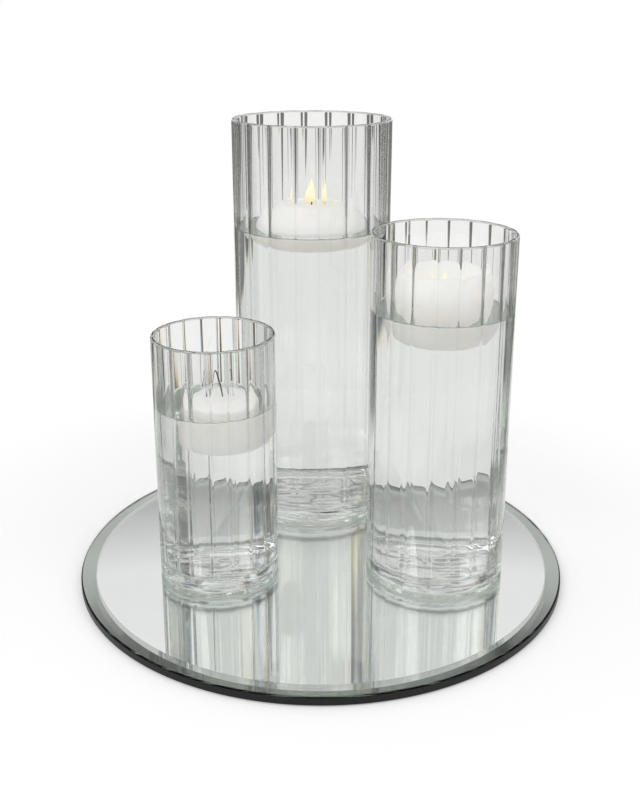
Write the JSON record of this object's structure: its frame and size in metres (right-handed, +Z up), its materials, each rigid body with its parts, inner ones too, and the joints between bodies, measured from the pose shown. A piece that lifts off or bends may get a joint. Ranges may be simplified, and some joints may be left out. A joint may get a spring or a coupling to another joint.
{
  "type": "candle plate",
  "caption": "Round bevelled mirror plate in a black tray, carrying clear glass cylinders that are fluted inside, filled with water and topped with floating wax candles.",
  "frame": {"origin": "centre of the plate's underside, level with the bottom of the felt pads", "axes": "+Z up, -Y the front, where the small and the medium cylinder stand, +X towards the medium cylinder"},
  "size_m": [0.3999, 0.4, 0.3609],
  "materials": {
    "tray": "satin black",
    "felt": "black felt",
    "mirror": "silvered float glass",
    "clear_glass": "clear, fire polished",
    "water": "clear water",
    "wax": "white wax",
    "lit_wick": "cotton braid, charred at the tip",
    "spent_wick": "charred cotton braid"
  },
  "bodies": {
    "plate": {"plate_tray": "tray", "plate_felt_pads": "felt", "plate_mirror": "mirror"},
    "tall_vase": {"tall_vase_glass": "clear_glass", "tall_vase_water": "water"},
    "medium_vase": {"medium_vase_glass": "clear_glass", "medium_vase_water": "water"},
    "small_vase": {"small_vase_glass": "clear_glass", "small_vase_water": "water"},
    "tall_candle": {"tall_candle_wax": "wax", "tall_candle_wick": "lit_wick"},
    "medium_candle": {"medium_candle_wax": "wax", "medium_candle_wick": "lit_wick"},
    "small_candle": {"small_candle_wax": "wax", "small_candle_wick": "spent_wick"}
  },
  "joints": [
    {"name": "tall_vase_lift", "type": "slide", "parent": "plate", "child": "tall_vase", "axis": [0, 0, 1], "range_m": [0, 0.06]},
    {"name": "medium_vase_lift", "type": "slide", "parent": "plate", "child": "medium_vase", "axis": [0, 0, 1], "range_m": [0, 0.06]},
    {"name": "small_vase_lift", "type": "slide", "parent": "plate", "child": "small_vase", "axis": [0, 0, 1], "range_m": [0, 0.06]},
    {"name": "tall_candle_lift", "type": "slide", "parent": "tall_vase", "child": "tall_candle", "axis": [0, 0, 1], "range_m": [0, 0.125], "deforming": ["tall_vase_water"]},
    {"name": "medium_candle_lift", "type": "slide", "parent": "medium_vase", "child": "medium_candle", "axis": [0, 0, 1], "range_m": [0, 0.095], "deforming": ["medium_vase_water"]},
    {"name": "small_candle_lift", "type": "slide", "parent": "small_vase", "child": "small_candle", "axis": [0, 0, 1], "range_m": [0, 0.1], "deforming": ["small_vase_water"]}
  ]
}
